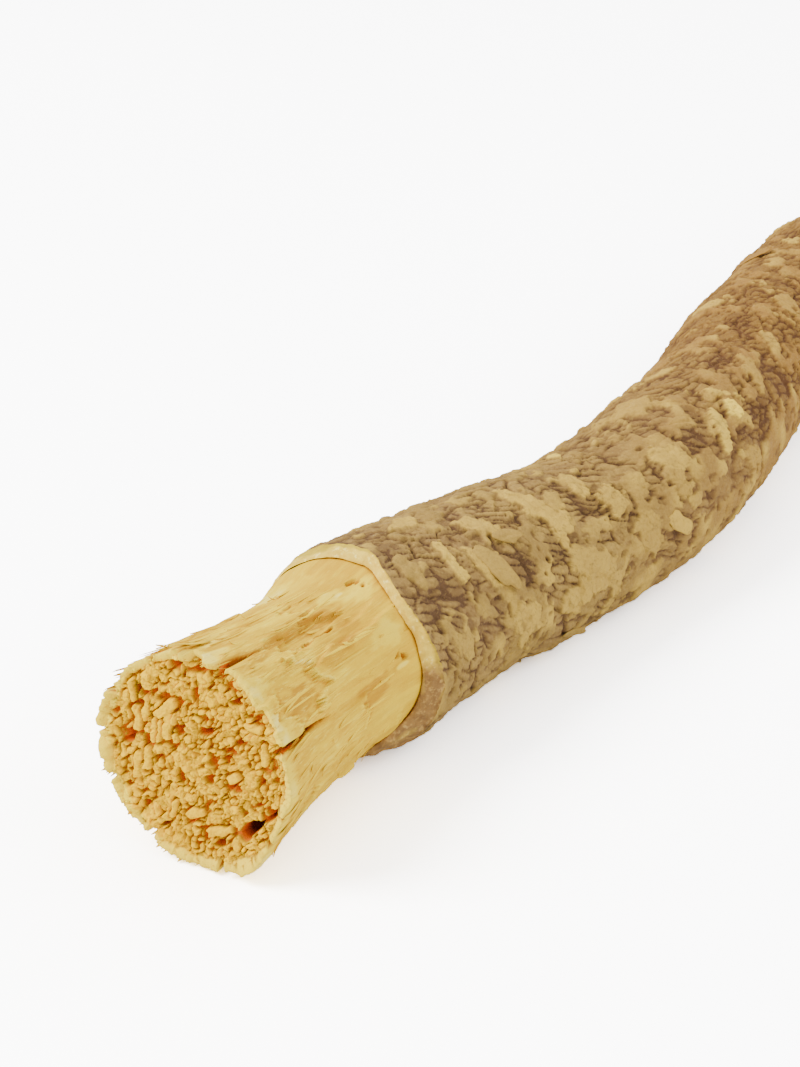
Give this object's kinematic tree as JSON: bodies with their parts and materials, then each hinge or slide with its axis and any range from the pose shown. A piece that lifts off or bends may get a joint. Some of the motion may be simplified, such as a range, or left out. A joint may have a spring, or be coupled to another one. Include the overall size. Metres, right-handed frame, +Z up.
{
  "type": "miswak stick",
  "caption": "Gently curved length of root in its rough bark, peeled at one end where the wood is frayed to a fibre brush for cleaning teeth.",
  "frame": {"origin": "centre of the stick's footprint box, on the surface that it lies on", "axes": "+X runs along the stick from the brush to the cut end, +Z is up off the surface it lies on, +Y is level across it"},
  "size_m": [0.1514, 0.0178, 0.012],
  "materials": {
    "bark": "rough corky bark, grooves darker than the ridges and paler plates on it",
    "wood": "matt peeled yellow wood, streaked along the grain"
  },
  "bodies": {
    "root": {"bark": "bark", "wood": "wood"}
  },
  "joints": []
}
